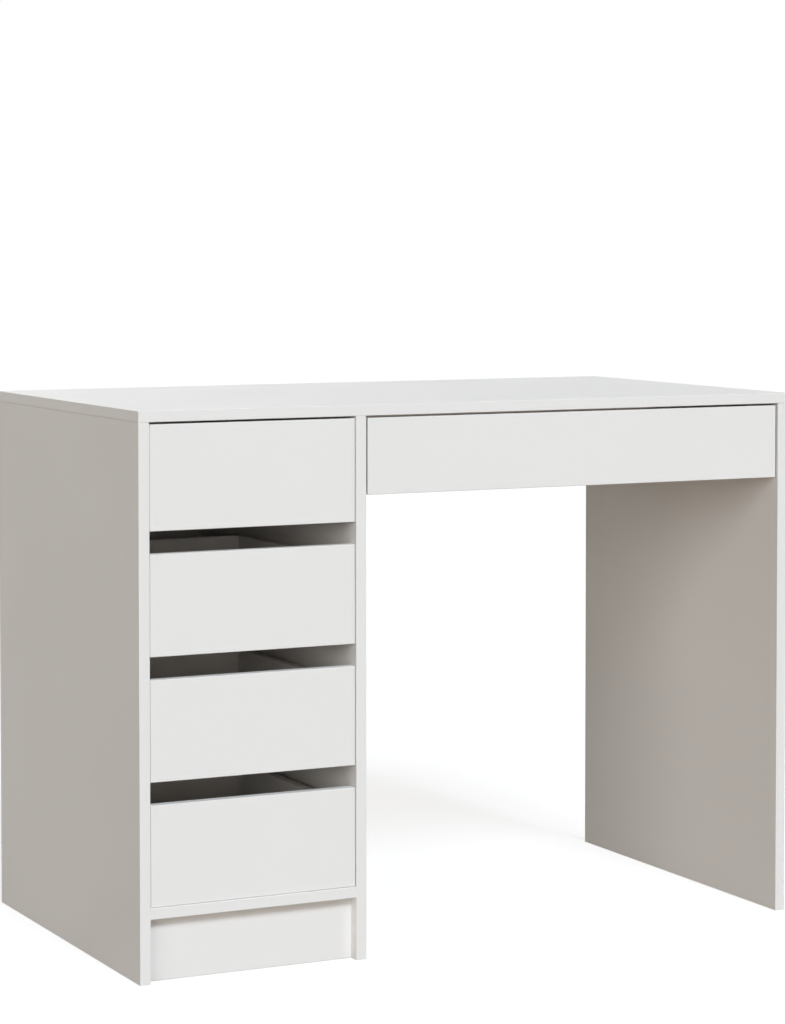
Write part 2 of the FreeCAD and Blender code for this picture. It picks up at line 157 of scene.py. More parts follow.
class NodeSheet:
    """Adds nodes to a node tree and joins them."""

    def __init__(self, tree: NodeTree) -> None:
        """Keep the tree that the nodes go into."""
        self.tree = tree

    def add(self, kind: str, inputs: Inputs | None = None, **settings: Any) -> Node:
        """Add a node.

        Args:
            kind: Blender's name for the node.
            inputs: values or sockets by input name or number.
            settings: properties of the node itself.

        Returns:
            The new node.
        """
        node = self.tree.nodes.new(kind)
        for name, value in settings.items():
            setattr(node, name, value)
        self.feed(node, inputs or {})
        return node

    def feed(self, node: Node, inputs: Inputs) -> None:
        """Set or join a node's inputs.

        Args:
            node: the node.
            inputs: values or sockets by input name or number.
        """
        for key, value in inputs.items():
            if isinstance(value, NodeSocket):
                self.tree.links.new(value, node.inputs[key])
            else:
                node.inputs[key].default_value = value

    def result(self, kind: str, inputs: Inputs | None = None, **settings: Any) -> NodeSocket:
        """Add a node and return its first output."""
        return self.add(kind, inputs, **settings).outputs[0]

    def math(self, operation: str, *values: Any) -> NodeSocket:
        """Work out one number from others."""
        return self.result("ShaderNodeMath", dict(enumerate(values)), operation=operation)

    def vector(self, *values: Any) -> NodeSocket:
        """Put three numbers together as a vector."""
        return self.result("ShaderNodeCombineXYZ", dict(enumerate(values)))

    def blend(self, factor: NodeSocket, first: Tone, second: Tone) -> NodeSocket:
        """Mix two tones."""
        inputs = {MIX_FACTOR: factor, MIX_COLOURS[0]: tone4(first), MIX_COLOURS[1]: tone4(second)}
        return self.add("ShaderNodeMix", inputs, data_type="RGBA").outputs[MIX_COLOUR_RESULT]

    def place(self) -> NodeSocket:
        """Object coordinates."""
        return self.add("ShaderNodeTexCoord").outputs["Object"]

    def drawn_out(self, scale: Place) -> NodeSocket:
        """Object coordinates with a scale of their own along each axis."""
        return self.result("ShaderNodeMapping", {"Vector": self.place(), "Scale": scale})

    def noise(self, place: NodeSocket, scale: Any, detail: float, **more: float) -> NodeSocket:
        """Noise from 0 to 1."""
        inputs = {"Vector": place, "Scale": scale, "Detail": detail, **more}
        return self.result("ShaderNodeTexNoise", inputs)

    def spread(self, noise: NodeSocket, low: Any = 0.0, high: Any = 1.0) -> NodeSocket:
        """Stretch the range in which most of a noise lies to another one."""
        return self.result("ShaderNodeMapRange", dict(enumerate((noise, *NOISE_RANGE, low, high))))

    def effect(self, group: NodeTree, inputs: Inputs) -> NodeSocket:
        """Place a shader group with its own values."""
        return self.result("ShaderNodeGroup", inputs, node_tree=group)

    def relief(self, height: NodeSocket, strength: float, distance: float) -> NodeSocket:
        """Turn a height into a normal."""
        return self.result("ShaderNodeBump", {"Strength": strength, "Distance": distance, "Height": height})

    def seen_plainly(self) -> NodeSocket:
        """Tell what is looked at from what is lit.

        Returns:
            1 where the camera, a reflection or a view through glass looks, else 0.
        """
        path = self.add("ShaderNodeLightPath").outputs
        reflected = self.math("MAXIMUM", path["Is Glossy Ray"], path["Is Transmission Ray"])
        return self.math("MAXIMUM", path["Is Camera Ray"], reflected)

    def carve(self, operation: str, shapes: list[NodeSocket], body: Inputs | None = None) -> NodeSocket:
        """Join closed shapes, or take them out of a body.

        Args:
            operation: Blender's name for it.
            shapes: the shapes.
            body: what they are taken out of, as the node's first input.

        Returns:
            The result. The manifold solver keeps shapes as small as a screw closed.
        """
        node = self.add("GeometryNodeMeshBoolean", body, operation=operation, solver="MANIFOLD")
        for shape in shapes:
            self.tree.links.new(shape, node.inputs["Mesh 2"])
        return node.outputs[0]


class GroupSheet(NodeSheet):
    """Sheet of a node group with named sockets."""

    def __init__(self, name: str, kind: str, takes: Inputs, gives: dict[str, str]) -> None:
        """Start the group.

        Args:
            name: name of the group.
            kind: Blender's name for the tree.
            takes: default value of each input, or the socket type of one that has no default.
            gives: socket type of each output.
        """
        super().__init__(bpy.data.node_groups.new(name, kind))
        for label, value in takes.items():
            bare = isinstance(value, str)
            socket = value if bare else SOCKETS[type(value)]
            item = self.tree.interface.new_socket(label, in_out="INPUT", socket_type=socket)
            if not bare:
                item.default_value = value
        for label, socket in gives.items():
            self.tree.interface.new_socket(label, in_out="OUTPUT", socket_type=socket)
        self.given: NodeOutputs = self.add("NodeGroupInput").outputs

    def give(self, **outputs: NodeSocket) -> NodeTree:
        """End the group with its outputs."""
        self.add("NodeGroupOutput", outputs)
        return self.tree


@dataclass
class SurfaceEffects:
    """Shader groups that several finishes share, each built once."""

    grain_detail: float = 2.0
    ripple_detail: float = 1.0
    drift_detail: float = 4.0
    patch_detail: float = 5.0

    @cached_property
    def peel(self) -> NodeTree:
        """Build the fine pearl of a pressed or moulded surface over a longer ripple.

        Returns:
            The group, which puts out a height.
        """
        takes = {"Grain": 900.0, "Ripple": 60.0, "Ripple Share": 0.3}
        sheet = GroupSheet("fine_peel", "ShaderNodeTree", takes, {"Height": SOCKETS[float]})
        given, place = sheet.given, sheet.place()
        grain = sheet.noise(place, given["Grain"], self.grain_detail)
        ripple = sheet.noise(place, given["Ripple"], self.ripple_detail)
        inputs = {MIX_FACTOR: given["Ripple Share"], MIX_NUMBERS[0]: grain, MIX_NUMBERS[1]: ripple}
        return sheet.give(Height=sheet.result("ShaderNodeMix", inputs))

    @cached_property
    def drift(self) -> NodeTree:
        """Build the slow change of tone over a surface.

        Returns:
            The group, which puts out a colour.
        """
        takes = {"Tone": (0.8, 0.8, 0.8, 1.0), "Amount": 0.02, "Scale": 5.0}
        sheet = GroupSheet("tone_drift", "ShaderNodeTree", takes, {"Color": SOCKETS[tuple]})
        wave = sheet.noise(sheet.place(), sheet.given["Scale"], self.drift_detail)
        centred = sheet.math("SUBTRACT", wave, 0.5)
        factor = sheet.math("MULTIPLY_ADD", centred, sheet.given["Amount"], 1.0)
        scaled = {0: sheet.given["Tone"], "Scale": factor}
        return sheet.give(Color=sheet.result("ShaderNodeVectorMath", scaled, operation="SCALE"))

    @cached_property
    def handling(self) -> NodeTree:
        """Build the patches where wiping and hands have changed the gloss.

        Returns:
            The group, which puts out a roughness.
        """
        takes = {"Low": 0.35, "High": 0.45, "Scale": 9.0}
        sheet = GroupSheet("handling_marks", "ShaderNodeTree", takes, {"Roughness": SOCKETS[float]})
        patch = sheet.noise(sheet.place(), sheet.given["Scale"], self.patch_detail)
        return sheet.give(Roughness=sheet.spread(patch, sheet.given["Low"], sheet.given["High"]))


EFFECTS = SurfaceEffects()


@dataclass(frozen=True)
class Finish:
    """Finish of a surface, which becomes a material when it is first asked for."""

    name: str

    @cached_property
    def material(self) -> Material:
        """Build the finish once.

        Returns:
            Its material.
        """
        material = bpy.data.materials.new(self.name)
        material.use_nodes = True
        sheet = NodeSheet(material.node_tree)
        sheet.feed(material.node_tree.nodes["Principled BSDF"], self.inputs(sheet))
        return material

    def inputs(self, sheet: NodeSheet) -> Inputs:
        """What goes into the shader, which each kind of finish says for itself."""
        raise NotImplementedError


@dataclass(frozen=True)
class CoatedFinish(Finish):
    """Smooth coated or moulded surface: pressed melamine, edge band, lacquer or plastic."""

    tone: Tone
    drift: float = 0.025
    gloss: Span = (0.52, 0.62)
    specular: float = 0.3
    grain: float = 1100.0
    ripple: float = 70.0
    ripple_share: float = 0.3
    strength: float = 0.06
    distance: float = 0.001

    def inputs(self, sheet: NodeSheet) -> Inputs:
        """Lay out the finish.

        Args:
            sheet: sheet of the material.

        Returns:
            What goes into the shader.
        """
        low, high = self.gloss
        pearl = {"Grain": self.grain, "Ripple": self.ripple, "Ripple Share": self.ripple_share}
        return {
            "Base Color": sheet.effect(EFFECTS.drift, {"Tone": tone4(self.tone), "Amount": self.drift}),
            "Roughness": sheet.effect(EFFECTS.handling, {"Low": low, "High": high}),
            "Normal": sheet.relief(sheet.effect(EFFECTS.peel, pearl), self.strength, self.distance),
            "Specular IOR Level": self.specular,
        }


@dataclass(frozen=True)
class ChipboardFinish(Finish):
    """Cut edge of chipboard: flakes and dust of light wood."""

    light: Tone = (0.52, 0.36, 0.20)
    dark: Tone = (0.25, 0.15, 0.075)
    flake: float = 520.0
    dust: float = 1500.0
    dust_detail: float = 4.0
    strength: float = 0.4
    distance: float = 0.0004
    roughness: float = 0.9

    def inputs(self, sheet: NodeSheet) -> Inputs:
        """Lay out the finish.

        Args:
            sheet: sheet of the material.

        Returns:
            What goes into the shader.
        """
        place = sheet.place()
        cells = sheet.add("ShaderNodeTexVoronoi", {"Vector": place, "Scale": self.flake})
        share = sheet.result("ShaderNodeSeparateColor", {0: cells.outputs["Color"]})
        mixed = sheet.math("MULTIPLY", share, sheet.noise(place, self.dust, self.dust_detail))
        return {
            "Base Color": sheet.blend(mixed, self.light, self.dark),
            "Normal": sheet.relief(mixed, self.strength, self.distance),
            "Roughness": self.roughness,
        }


@dataclass(frozen=True)
class FibreFinish(Finish):
    """Bare back of hardboard, or plain wood: fine fibres over slow clouds of tone."""

    light: Tone = (0.66, 0.52, 0.375)
    dark: Tone = (0.52, 0.39, 0.265)
    stretch: Place = (1.0, 1.0, 1.0)
    fibre: float = 420.0
    fibre_detail: float = 6.0
    fibre_roughness: float = 0.65
    fibre_bend: float = 0.6
    cloud: float = 14.0
    cloud_detail: float = 3.0
    cloud_share: float = 0.35
    strength: float = 0.25
    distance: float = 0.0003
    roughness: float = 0.75

    def inputs(self, sheet: NodeSheet) -> Inputs:
        """Lay out the finish.

        Args:
            sheet: sheet of the material.

        Returns:
            What goes into the shader.
        """
        fibre = sheet.noise(sheet.drawn_out(self.stretch), self.fibre, self.fibre_detail,
                            Roughness=self.fibre_roughness, Distortion=self.fibre_bend)
        cloud = sheet.noise(sheet.place(), self.cloud, self.cloud_detail)
        fine = sheet.math("MULTIPLY", fibre, 1.0 - self.cloud_share)
        mixed = sheet.math("MULTIPLY_ADD", cloud, self.cloud_share, fine)
        return {
            "Base Color": sheet.blend(sheet.spread(mixed), self.dark, self.light),
            "Normal": sheet.relief(fibre, self.strength, self.distance),
            "Roughness": self.roughness,
        }


@dataclass(frozen=True)
class ZincFinish(Finish):
    """Zinc plated steel with faint drawing lines along its length."""

    tone: Tone = (0.66, 0.67, 0.69)
    drift: float = 0.2
    drift_scale: float = 55.0
    gloss: Span = (0.24, 0.38)
    gloss_scale: float = 70.0
    lines: Place = (900.0, 12.0, 900.0)
    line_detail: float = 3.0
    strength: float = 0.08
    distance: float = 0.0002

    def inputs(self, sheet: NodeSheet) -> Inputs:
        """Lay out the finish.

        Args:
            sheet: sheet of the material.

        Returns:
            What goes into the shader.
        """
        low, high = self.gloss
        scratch = sheet.noise(sheet.drawn_out(self.lines), 1.0, self.line_detail)
        toned = {"Tone": tone4(self.tone), "Amount": self.drift, "Scale": self.drift_scale}
        handled = {"Low": low, "High": high, "Scale": self.gloss_scale}
        return {
            "Base Color": sheet.effect(EFFECTS.drift, toned),
            "Roughness": sheet.effect(EFFECTS.handling, handled),
            "Normal": sheet.relief(scratch, self.strength, self.distance),
            "Metallic": 1.0,
        }


@dataclass(frozen=True)
class FloorFinish(Finish):
    """Floor that keeps a soft shadow and reads as white where it is looked at."""

    tone: Tone = (0.285, 0.235, 0.19)
    seen_tone: Tone = (0.40, 0.40, 0.40)
    glow: float = 0.74

    def inputs(self, sheet: NodeSheet) -> Inputs:
        """Lay out the finish.

        Args:
            sheet: sheet of the material.

        Returns:
            What goes into the shader.
        """
        seen = sheet.seen_plainly()
        return {
            "Base Color": sheet.blend(seen, self.tone, self.seen_tone),
            "Roughness": 1.0,
            "Specular IOR Level": 0.0,
            "Emission Color": tone4(WHITE_LIGHT),
            "Emission Strength": sheet.math("MULTIPLY", seen, self.glow),
        }


WHITE: Tone = (0.885, 0.873, 0.85)
FACE = CoatedFinish("white_melamine", WHITE)
BAND = CoatedFinish("white_edge_band", WHITE, gloss=(0.46, 0.54), grain=700.0, strength=0.03)
CORE = ChipboardFinish("cut_chipboard")
BOX_FACE = CoatedFinish("drawer_melamine", (0.885, 0.868, 0.84))
LACQUER = CoatedFinish("hardboard_lacquer", (0.86, 0.845, 0.82), gloss=(0.50, 0.62), specular=0.25,
                       strength=0.10)
FIBRE = FibreFinish("hardboard_back")
ZINC = ZincFinish("zinc_plate")
CASTING = ZincFinish("zinc_casting", (0.50, 0.51, 0.53), gloss=(0.42, 0.58), lines=(600.0, 600.0, 600.0))
CAP = CoatedFinish("white_cap", (0.80, 0.795, 0.78), gloss=(0.40, 0.50))
BEECH = FibreFinish("beech_dowel", (0.60, 0.42, 0.25), (0.45, 0.29, 0.16), stretch=(0.15, 1.0, 0.15))

# The finishes of a board, in the order of Skin.
PANEL_SKINS = (FACE, BAND, CORE)
BOX_SKINS = (BOX_FACE, BAND, CORE)
SHEET_SKINS = (LACQUER, LACQUER, FIBRE)


def merged_copy(node: str) -> BMesh:
    """Copy a CAD node's mesh, with its corners merged and its flat faces made whole.

    Args:
        node: name of the CAD node.

    Returns:
        The copy as a mesh in work.
    """
    bm = bmesh.new()
    bm.from_mesh(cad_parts[node].data)
    bmesh.ops.remove_doubles(bm, verts=bm.verts, dist=MERGE_DISTANCE)
    bmesh.ops.dissolve_limit(bm, angle_limit=FLAT_ANGLE, verts=bm.verts, edges=bm.edges)
    bm.verts.index_update()
    return bm


def linked(name: str, data: Any) -> Object:
    """Put a new object into the scene.

    Args:
        name: name of the object.
        data: its mesh, light or camera.

    Returns:
        The object, at the origin.
    """
    made = bpy.data.objects.new(name, data)
    bpy.context.scene.collection.objects.link(made)
    return made


def new_mesh(name: str, bm: BMesh, materials: list[Material]) -> Mesh:
    """Turn a mesh in work into a mesh.

    Args:
        name: name of the mesh.
        bm: the mesh in work, which is freed.
        materials: its materials, in the order that its faces number them.

    Returns:
        The mesh.
    """
    mesh = bpy.data.meshes.new(name)
    bm.to_mesh(mesh)
    bm.free()
    for material in materials:
        mesh.materials.append(material)
    return mesh


def new_piece(name: str, bm: BMesh, materials: list[Material]) -> Object:
    """Turn a mesh in work into an object at the origin."""
    return linked(name, new_mesh(name, bm, materials))


def plain_mesh(carrier: Object) -> Mesh:
    """Make a plain mesh of what an object's modifiers give, and remove both.

    Args:
        carrier: the object with its modifiers.

    Returns:
        The mesh.
    """
    evaluated = carrier.evaluated_get(bpy.context.evaluated_depsgraph_get())
    mesh = bpy.data.meshes.new_from_object(evaluated)
    carrier.modifiers.clear()
    bpy.data.objects.remove(carrier)
    return mesh


def split_evenly(mesh: Mesh) -> None:
    """Split faces of more than four corners into triangles, as even as their corners allow.

    Args:
        mesh: the mesh, which is changed.
    """
    bm = bmesh.new()
    bm.from_mesh(mesh)
    many_sided = [face for face in bm.faces if len(face.verts) > QUAD_CORNERS]
    bmesh.ops.triangulate(bm, faces=many_sided, ngon_method="BEAUTY")
    bm.to_mesh(mesh)
    bm.free()


def settle(piece: Object, body: str, node: str) -> None:
    """Split the large faces of a finished piece, and put it on its body in place of its CAD node.

    Args:
        piece: the piece.
        body: the body that it rides.
        node: the CAD node that it replaces.
    """
    split_evenly(piece.data)
    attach(piece, body)
    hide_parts(node)
    LOG.info("%s rides %s, %d faces", piece.name, body, len(piece.data.polygons))


@dataclass
class Board:
    """One board: faces, edge bands with rounded arrises, and bare core where it is cut."""

    node: str
    body: str
    slot: Slot
    skins: tuple[Finish, ...]
    cut: tuple[Side, ...] = ()
    arris: float = 0.0008
    segments: int = 3
    band: float = 0.001
    eased: bool = False
    planes: dict[Side, float] = field(init=False)
    thin: int = field(init=False)

    def __post_init__(self) -> None:
        """Measure the CAD board."""
        low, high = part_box(self.node)
        size = list(high - low)
        self.planes = {side: (high if side.sign > 0 else low)[side.axis] for side in Side}
        self.thin = size.index(min(size))

    @classmethod
    def hardboard(cls, node: str, body: str, lacquered: Side) -> "Board":
        """Thin sheet of bare fibre with one lacquered face and eased rims."""
        bare = tuple(side for side in Side if side is not lacquered)
        return cls(node, body, Slot.HARDBOARD, SHEET_SKINS, bare, HARDBOARD_ARRIS, segments=1, eased=True)

    def build(self) -> Object:
        """Make the board.

        Returns:
            The board as an object with its skins.
        """
        bm = merged_copy(self.node)
        self._round_arrises(bm)
        self._mark_bands(bm)
        self._lay_skins(bm)
        return new_piece(f"{self.node}_board", bm, [skin.material for skin in self.skins])

    def dress(self) -> None:
        """Build the board and put it on its body."""
        settle(self.build(), self.body, self.node)

    def _sides_at(self, point: Vector) -> set[Side]:
        """Sides of the board that a point lies on."""
        return {side for side, level in self.planes.items() if abs(point[side.axis] - level) < ON_PLANE}

    def _banded(self, side: Side) -> bool:
        """Whether a side is an edge with a band."""
        return side.axis != self.thin and side not in self.cut

    def _round_arrises(self, bm: BMesh) -> None:
        """Round the long edges between faces and bands, and those of cut sides where they are eased.

        Args:
            bm: the board in work.
        """
        edges = []
        for edge in bm.edges:
            shared = self._sides_at(edge.verts[0].co) & self._sides_at(edge.verts[1].co)
            if len(shared) > 1 and (self.eased or shared.isdisjoint(self.cut)):
                edges.append(edge)
        bmesh.ops.bevel(bm, geom=edges, offset=self.arris, segments=self.segments, profile=ROUND_PROFILE,
                        affect="EDGES", clamp_overlap=False)

    def _mark_bands(self, bm: BMesh) -> None:
        """Cut the faces along the glue line of each band.

        Args:
            bm: the board in work.
        """
        for side in filter(self._banded, Side):
            point, normal = Vector(), Vector()
            point[side.axis] = self.planes[side] - side.sign * self.band
            normal[side.axis] = side.sign
            bmesh.ops.bisect_plane(bm, geom=bm.verts[:] + bm.edges[:] + bm.faces[:], dist=MERGE_DISTANCE,
                                   plane_co=point, plane_no=normal)

    def _lay_skins(self, bm: BMesh) -> None:
        """Give each face of the mesh its skin."""
        for face in bm.faces:
            face.material_index = self._skin(face.calc_center_median(), face.normal).value

    def _skin(self, centre: Vector, normal: Vector) -> Skin:
        """Choose the skin of a face.

        Args:
            centre: its middle.
            normal: the direction that it faces.

        Returns:
            The skin.
        """
        for side in filter(self._banded, Side):
            inside = side.sign * (self.planes[side] - centre[side.axis])
            if inside < self.band and normal[side.axis] * side.sign > -ON_PLANE:
                return Skin.BAND
        uncut = self._sides_at(centre).difference(self.cut)
        return Skin.FACE if any(side.axis == self.thin for side in uncut) else Skin.CORE


@dataclass(frozen=True)
class Solid:
    """One solid of a CAD node: its corners, and their numbers in the node's merged mesh."""

    points: tuple[Vector, ...]
    numbers: frozenset[int]

    @cached_property
    def low(self) -> Vector:
        """Lowest corner of its box."""
        return Vector(min(point[axis] for point in self.points) for axis in range(3))

    @cached_property
    def high(self) -> Vector:
        """Highest corner of its box."""
        return Vector(max(point[axis] for point in self.points) for axis in range(3))

    @property
    def middle(self) -> Vector:
        """Middle of its box."""
        return (self.low + self.high) / 2

    @property
    def size(self) -> Vector:
        """Lengths of its box."""
        return self.high - self.low

    @property
    def length(self) -> float:
        """Length along its longest axis."""
        return max(self.size)

    def head(self) -> Seat:
        """Find the head of a fastener, which is its wider end.

        Returns:
            The middle of the head's outer face, and the direction that it faces.
        """
        middle = self.middle
        axis = list(self.size).index(self.length)
        reach = {}
        for end in (self.low[axis], self.high[axis]):
            rim = [point for point in self.points if abs(point[axis] - end) < RIM_DEPTH]
            reach[end] = max((point - middle).length for point in rim)
        outer = max(reach, key=lambda end: reach[end])
        facing = Vector()
        facing[axis] = math.copysign(1.0, outer - middle[axis])
        middle[axis] = outer
        return middle, facing


def solids_of(node: str) -> list[Solid]:
    """Find the separate solids of a CAD node.

    Args:
        node: name of the CAD node.

    Returns:
        The solids, in the order of their first corners.
    """
    bm = merged_copy(node)
    found, seen = [], set()
    for start in bm.verts:
        if start in seen:
            continue
        seen.add(start)
        ring, group = [start], []
        while ring:
            vert = ring.pop()
            group.append(vert)
            others = {edge.other_vert(vert) for edge in vert.link_edges} - seen
            seen |= others
            ring.extend(others)
        points = tuple(vert.co.copy() for vert in group)
        found.append(Solid(points, frozenset(vert.index for vert in group)))
    bm.free()
    return found


def grown(seats: list[Seat], tree: NodeTree, values: Inputs) -> Mesh:
    """Run a Geometry Nodes tree over seats.

    Args:
        seats: points, and the direction that each faces.
        tree: the tree.
        values: its inputs by name.

    Returns:
        The result as a plain mesh.
    """
    mesh = bpy.data.meshes.new("seats")
    mesh.from_pydata([seat for seat, _ in seats], [], [])
    facing = mesh.attributes.new("facing", "FLOAT_VECTOR", "POINT")
    for point, (_, direction) in zip(facing.data, seats):
        point.vector = direction
    carrier = linked("carrier", mesh)
    modifier = carrier.modifiers.new("grow", "NODES")
    modifier.node_group = tree
    for item in tree.interface.items_tree:
        if item.in_out == "INPUT" and item.name in values:
            modifier[item.identifier] = values[item.name]
    return plain_mesh(carrier)


class HardwareTrees:
    """Geometry Nodes trees for what repeats, each built once: fasteners, dowels, balls and slots."""

    @staticmethod
    def _start(name: str, sizes: Inputs) -> GroupSheet:
        """Start a tree on seats, with its sizes and material as inputs."""
        takes = {"Geometry": "NodeSocketGeometry", **sizes, "Material": "NodeSocketMaterial"}
        return GroupSheet(name, "GeometryNodeTree", takes, {"Geometry": "NodeSocketGeometry"})

    @staticmethod
    def _finish(sheet: GroupSheet, placed: NodeSocket) -> NodeTree:
        """End a tree with real geometry that has its material.

        Args:
            sheet: sheet of the tree.
            placed: the shapes as instances.

        Returns:
            The tree.
        """
        real = sheet.result("GeometryNodeRealizeInstances", {0: placed})
        inputs = {"Geometry": real, "Material": sheet.given["Material"]}
        return sheet.give(Geometry=sheet.result("GeometryNodeSetMaterial", inputs))

    def _aimed(self, sheet: GroupSheet, shape: NodeSocket) -> NodeTree:
        """Set a shape that stands along Z on every seat, turned at random about its axis.

        Args:
            sheet: sheet of the tree.
            shape: what stands on each seat.

        Returns:
            The tree, finished.
        """
        facing = sheet.result("GeometryNodeInputNamedAttribute", {"Name": "facing"},
                              data_type="FLOAT_VECTOR")
        aimed = sheet.result("FunctionNodeAlignRotationToVector", {"Vector": facing}, axis="Z")
        draw = {RANDOM_NUMBERS[0]: 0.0, RANDOM_NUMBERS[1]: math.pi, "Seed": sheet.given["Seed"]}
        twist = sheet.add("FunctionNodeRandomValue", draw).outputs[RANDOM_NUMBER_RESULT]
        spin = sheet.result("FunctionNodeAxisAngleToRotation", {"Axis": (0.0, 0.0, 1.0), "Angle": twist})
        turned = sheet.result("FunctionNodeRotateRotation", {0: aimed, 1: spin}, rotation_space="LOCAL")
        inputs = {"Points": sheet.given["Geometry"], "Instance": shape, "Rotation": turned}
        return self._finish(sheet, sheet.result("GeometryNodeInstanceOnPoints", inputs))

    def _in_rows(self, sheet: GroupSheet, shape: NodeSocket) -> NodeTree:
        """Set a row of shapes along Y from every seat.

        Args:
            sheet: sheet of the tree.
            shape: what stands in the rows.

        Returns:
            The tree, finished.
        """
        step = sheet.vector(0.0, sheet.given["Pitch"], 0.0)
        row = sheet.result("GeometryNodeMeshLine", {"Count": sheet.given["Count"], "Offset": step})
        for points in (row, sheet.given["Geometry"]):
            shape = sheet.result("GeometryNodeInstanceOnPoints", {"Points": points, "Instance": shape})
        return self._finish(sheet, shape)

    @cached_property
    def fasteners(self) -> NodeTree:
        """Build heads with or without a cross recess, on shanks, one on every seat.

        Returns:
            The tree.
        """
        lengths = ("Base Radius", "Crown Radius", "Head Height", "Shank Radius", "Shank Length",
                   "Recess Length", "Recess Width", "Recess Depth")
        sizes = dict.fromkeys(lengths, DEFAULT_LENGTH)
        sheet = self._start("fastener_set", {**sizes, "Bulge": 0.0, "Driven": True, "Seed": 7})
        given, head = sheet.given, self._head(sheet)
        shank = sheet.result("GeometryNodeMeshCylinder", {
            "Vertices": SHANK_SIDES, "Radius": given["Shank Radius"], "Depth": given["Shank Length"]})
        half_head = sheet.math("MULTIPLY", given["Head Height"], 0.5)
        drop = sheet.math("MULTIPLY_ADD", given["Shank Length"], -0.5, half_head)
        lowered = {0: shank, "Translation": sheet.vector(0.0, 0.0, drop)}
        whole = sheet.carve("UNION", [head, sheet.result("GeometryNodeTransform", lowered)])
        driven = sheet.carve("DIFFERENCE", self._recess(sheet), {"Mesh 1": whole})
        choice = {"Switch": given["Driven"], "False": whole, "True": driven}
        return self._aimed(sheet, sheet.result("GeometryNodeSwitch", choice, input_type="GEOMETRY"))

    @staticmethod
    def _head(sheet: GroupSheet) -> NodeSocket:
        """Make a cone whose side swells most at half its height.

        Args:
            sheet: sheet of the tree.

        Returns:
            The head, with its underside on the seat.
        """
        given = sheet.given
        cone = sheet.result("GeometryNodeMeshCone", {
            "Vertices": HEAD_SIDES, "Side Segments": HEAD_STEPS, "Radius Top": given["Crown Radius"],
            "Radius Bottom": given["Base Radius"], "Depth": given["Head Height"]})
        place = sheet.result("GeometryNodeInputPosition")
        level = sheet.add("ShaderNodeSeparateXYZ", {0: place}).outputs["Z"]
        share = sheet.math("DIVIDE", level, given["Head Height"])
        arch = sheet.math("MULTIPLY", share, sheet.math("SUBTRACT", 1.0, share))
        swell = sheet.math("MULTIPLY_ADD", arch, given["Bulge"], 1.0)
        scale = sheet.vector(swell, swell, 1.0)
        swollen = sheet.result("ShaderNodeVectorMath", {0: place, 1: scale}, operation="MULTIPLY")
        return sheet.result("GeometryNodeSetPosition", {"Geometry": cone, "Position": swollen})

    @staticmethod
    def _recess(sheet: GroupSheet) -> list[NodeSocket]:
        """Make the two crossed bars that a recess is cut with.

        Args:
            sheet: sheet of the tree.

        Returns:
            The bars, half sunk into the crown of a head.
        """
        given = sheet.given
        deep = sheet.math("MULTIPLY", given["Recess Depth"], 2.0)
        crown = sheet.vector(0.0, 0.0, given["Head Height"])
        arms = (given["Recess Length"], given["Recess Width"])
        bars = []
        for along, beside in (arms, arms[::-1]):
            bar = sheet.result("GeometryNodeMeshCube", {"Size": sheet.vector(along, beside, deep)})
            bars.append(sheet.result("GeometryNodeTransform", {0: bar, "Translation": crown}))
        return bars

    @cached_property
    def dowels(self) -> NodeTree:
        """Build fluted dowels with chamfered ends, one on every seat.

        A plain rod has rings at its ends and at its thirds. The rings at the thirds move out to
        where the chamfers start, the end rings shrink, and every other corner sinks as a flute.

        Returns:
            The tree.
        """
        sizes = dict.fromkeys(("Radius", "Length", "Chamfer", "Flute Depth"), DEFAULT_LENGTH)
        sheet = self._start("dowel_set", {**sizes, "Seed": 3})
        given = sheet.given
        rod = sheet.result("GeometryNodeMeshCylinder", {
            "Vertices": DOWEL_SIDES, "Side Segments": DOWEL_THIRDS, "Radius": given["Radius"],
            "Depth": given["Length"]})
        place = sheet.result("GeometryNodeInputPosition")
        x, y, z = sheet.add("ShaderNodeSeparateXYZ", {0: place}).outputs
        around = sheet.math("MULTIPLY", sheet.math("ARCTAN2", y, x), DOWEL_SIDES / 2)
        wave = sheet.math("MULTIPLY_ADD", sheet.math("COSINE", around), -0.5, 0.5)
        flute = sheet.math("MULTIPLY", wave, given["Flute Depth"])
        share = sheet.math("DIVIDE", sheet.math("ABSOLUTE", z), given["Length"])
        ended = sheet.math("MULTIPLY_ADD", share, float(DOWEL_THIRDS), -0.5)
        inward = sheet.math("MULTIPLY_ADD", ended, given["Chamfer"], flute)
        narrowed = sheet.math("SUBTRACT", 1.0, sheet.math("DIVIDE", inward, given["Radius"]))
        short = sheet.math("MULTIPLY", sheet.math("SUBTRACT", 1.0, ended), given["Chamfer"])
        reach = sheet.math("SUBTRACT", sheet.math("MULTIPLY", given["Length"], 0.5), short)
        moved = sheet.vector(sheet.math("MULTIPLY", x, narrowed), sheet.math("MULTIPLY", y, narrowed),
                             sheet.math("MULTIPLY", sheet.math("SIGN", z), reach))
        shaped = sheet.result("GeometryNodeSetPosition", {"Geometry": rod, "Position": moved})
        return self._aimed(sheet, shaped)

    @cached_property
    def balls(self) -> NodeTree:
        """Build a row of balls along Y from every seat.

        Returns:
            The tree.
        """
        sheet = self._start("ball_rows", {"Radius": DEFAULT_LENGTH, "Count": 12, "Pitch": 0.01})
        sizes = {"Segments": BALL_SIDES, "Rings": BALL_RINGS, "Radius": sheet.given["Radius"]}
        return self._in_rows(sheet, sheet.result("GeometryNodeMeshUVSphere", sizes))

